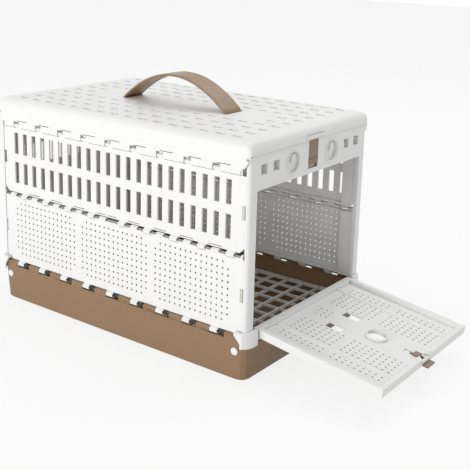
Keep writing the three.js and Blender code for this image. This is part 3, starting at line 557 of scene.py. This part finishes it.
for end, sign in (("front", 1), ("rear", -1)):
    rims, cutters = port_solids(sign)
    dressed(
        end + "_frame", end + "_sill", end + "_corner_tab_near", end + "_corner_tab_far", extra=rims,
        cutters=cutters,
    )
    dressed(end + "_latch")
    dressed("strap_collar_" + end, edge=0.4)
dressed("ramp_door", cutters=door_perforations(), edge=0.5, least=6)
dressed("rear_panel", edge=0.3)
dressed("door_bolt", edge=0.3)
for side in ("near", "far"):
    for end in ("front", "rear"):
        dressed("lock_button_" + side + "_" + end, edge=0.3, least=1)


# Floor grid: bars both ways in a rim, with meshes of about 25 mm
grid_bar = 2.2
grid_rim = 5
grid_corner = 9.6
grid_least_corner = 2
grid_columns = 15
grid_rows = 9
grid_step = 0.6  # the long bars are this much lower than the cross bars
grid_turns = 24


def rounded_loop(size, middle, inset):
    """Points of the grid's outline, moved in by inset."""
    corner = max(grid_corner - inset, grid_least_corner)
    points = []
    for turn in range(grid_turns):
        angle = math.radians(360 / grid_turns * (turn + 0.5))
        x = math.copysign(size.x / 2 - inset - corner, math.cos(angle)) + corner * math.cos(angle)
        y = math.copysign(size.y / 2 - inset - corner, math.sin(angle)) + corner * math.sin(angle)
        points.append((middle.x + x, middle.y + y))
    return points


def grid_piece():
    low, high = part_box("floor_grid")
    size = (high - low) / MM
    middle = (high + low) / 2 / MM
    inside = (size.x - grid_rim, size.y - grid_rim)
    pitch = (inside[0] / (grid_columns + 1), inside[1] / (grid_rows + 1))
    across = bars(at(*middle), grid_columns, pitch[0], (grid_bar, inside[1], size.z))
    quarter = at(*middle) @ Matrix.Rotation(math.pi / 2, 4, "Z")
    lengthwise = bars(quarter, grid_rows, pitch[1], (grid_bar, inside[0], size.z - grid_step))
    bm = bmesh.new()
    for mesh in (across, lengthwise):
        bm.from_mesh(mesh)
    loops = []
    for inset in (0, grid_rim):
        points = rounded_loop(size, middle, inset)
        loops.append([
            [bm.verts.new(Vector((x, y, z)) * MM) for x, y in points] for z in (low.z / MM, high.z / MM)
        ])
    outer, inner = loops
    for spot in range(grid_turns):
        other = (spot + 1) % grid_turns
        bm.faces.new((outer[0][spot], outer[0][other], outer[1][other], outer[1][spot]))
        bm.faces.new((inner[0][other], inner[0][spot], inner[1][spot], inner[1][other]))
        bm.faces.new((outer[1][spot], outer[1][other], inner[1][other], inner[1][spot]))
        bm.faces.new((outer[0][other], outer[0][spot], inner[0][spot], inner[0][other]))
    name = "floor_grid_surface"
    finished(linked(name, mesh_from(bm, name)), ("floor_grid",))


grid_piece()


# Strap: a thin band with rounded edges, swept along its arch and down through the lid
strap_low, strap_high = (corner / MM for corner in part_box("carry_strap"))
lid_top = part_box("lid_shell")[1].z / MM
strap_half = 84
strap_thick = 3
strap_rise = strap_high.z - strap_thick / 2 - lid_top
strap_wide = strap_high.y - strap_low.y
strap_edge = 1.3
strap_edge_parts = 4
strap_steps = 72
strap_foot = strap_low.z
strap_bend = 2.6  # the feet turn down this far below the lid's top
strap_foot_shift = 0.6  # from the arch's end inwards to the middle of a foot


def strap_section():
    """The band's outline: places across it and through it, with rounded edges."""
    points = []
    for side_w, side_t, quarter in ((1, 1, 0), (-1, 1, 1), (-1, -1, 2), (1, -1, 3)):
        for part in range(strap_edge_parts + 1):
            angle = (quarter + part / strap_edge_parts) * math.pi / 2
            points.append((
                side_w * (strap_wide / 2 - strap_edge) + strap_edge * math.cos(angle),
                side_t * (strap_thick / 2 - strap_edge) + strap_edge * math.sin(angle),
            ))
    return points


def strap_path():
    """Places and directions along the strap, from foot to foot."""
    foot_x = strap_half - strap_foot_shift
    up, down = Vector((0, 1)), Vector((0, -1))
    path = [(Vector((-foot_x, strap_foot)), up), (Vector((-foot_x, lid_top - strap_bend)), up)]
    for step in range(1, strap_steps):
        x = -strap_half + 2 * strap_half * step / strap_steps
        place = Vector((x, lid_top + strap_rise * (1 - (x / strap_half) ** 2)))
        path.append((place, Vector((1, -2 * strap_rise * x / strap_half ** 2)).normalized()))
    return path + [(Vector((foot_x, lid_top - strap_bend)), down), (Vector((foot_x, strap_foot)), down)]


def strap_piece():
    bm = bmesh.new()
    section = strap_section()
    rings = []
    for point, heading in strap_path():
        normal = Vector((-heading.y, heading.x))
        rings.append([
            bm.verts.new(Vector((point.x + normal.x * t, w, point.y + normal.y * t)) * MM) for w, t in section
        ])
    for ring, following in zip(rings, rings[1:]):
        for spot in range(len(section)):
            other = (spot + 1) % len(section)
            bm.faces.new((ring[spot], ring[other], following[other], following[spot]))
    bm.faces.new(rings[0])
    bm.faces.new(list(reversed(rings[-1])))
    bmesh.ops.recalc_face_normals(bm, faces=bm.faces)
    name = "carry_strap_surface"
    finished(linked(name, mesh_from(bm, name)), ("carry_strap",), smooth=60)


strap_piece()

# Pins: the CAD shapes stay; the wire at the tray is a darker copy of the steel, painted shade for its hinge
# windows, and bright elsewhere
for node, obj in nodes.items():
    if slots[node] == "pin_steel":
        obj.data.materials.clear()
        obj.data.materials.append(finishes["tray_pin_painted_shade" if "tray" in node else "pin_steel"])


def seen_itself(tree):
    """1 for a ray from the camera or from a reflection, and 0 for the light that falls on the object."""
    path = add(tree, "ShaderNodeLightPath")
    seen = add(
        tree, "ShaderNodeMath", {"operation": "MAXIMUM"}, _0=path.outputs["Is Camera Ray"],
        _1=path.outputs["Is Glossy Ray"],
    )
    return seen.outputs[0]


# Pale floor that keeps the object's shadow, and a white world where the camera sees it
floor_mesh = bpy.data.meshes.new("studio_floor")
reach = 6
floor_mesh.from_pydata(
    [(-reach, -reach, 0), (reach, -reach, 0), (reach, reach, 0), (-reach, reach, 0)], [], [(0, 1, 2, 3)],
)
floor = linked("studio_floor", floor_mesh)
floor_material, tree, surface = blank_material("pale_studio_floor")
surface.inputs["Base Color"].default_value = linear("#F4F4F4")
surface.inputs["Roughness"].default_value = 0.9
glow = add(tree, "ShaderNodeEmission", Color=linear("#FFFFFF"), Strength=1.0)
share = add(tree, "ShaderNodeMath", {"operation": "MULTIPLY"}, _0=seen_itself(tree), _1=0.82)
mixed = add(tree, "ShaderNodeMixShader", _0=share.outputs[0], _1=surface.outputs[0], _2=glow.outputs[0])
tree.links.new(mixed.outputs[0], tree.nodes["Material Output"].inputs["Surface"])
floor_mesh.materials.append(floor_material)

world = bpy.data.worlds.new("studio_world")
bpy.context.scene.world = world
world.use_nodes = True
tree = world.node_tree
tree.nodes.clear()
soft = add(tree, "ShaderNodeBackground", Color=linear("#FFFFFF"), Strength=0.56)
white = add(tree, "ShaderNodeBackground", Color=linear("#FFFFFF"), Strength=1.0)
mixed = add(tree, "ShaderNodeMixShader", _0=seen_itself(tree), _1=soft.outputs[0], _2=white.outputs[0])
add(tree, "ShaderNodeOutputWorld", Surface=mixed.outputs[0])


def softbox(name, place, target, size, watts):
    data = bpy.data.lights.new(name, "AREA")
    data.shape = "RECTANGLE"
    data.size, data.size_y = size
    data.energy = watts
    lamp = bpy.data.objects.new(name, data)
    bpy.context.scene.collection.objects.link(lamp)
    lamp.location = place
    lamp.rotation_euler = (Vector(target) - Vector(place)).to_track_quat("-Z", "Y").to_euler()


softbox("side_softbox", place=(-0.35, -2.45, 0.7), target=(0, 0, 0.14), size=(1.6, 1.0), watts=28)
softbox("top_softbox", place=(0.3, 1.2, 2.1), target=(0.1, 0, 0.2), size=(1.8, 1.4), watts=18)
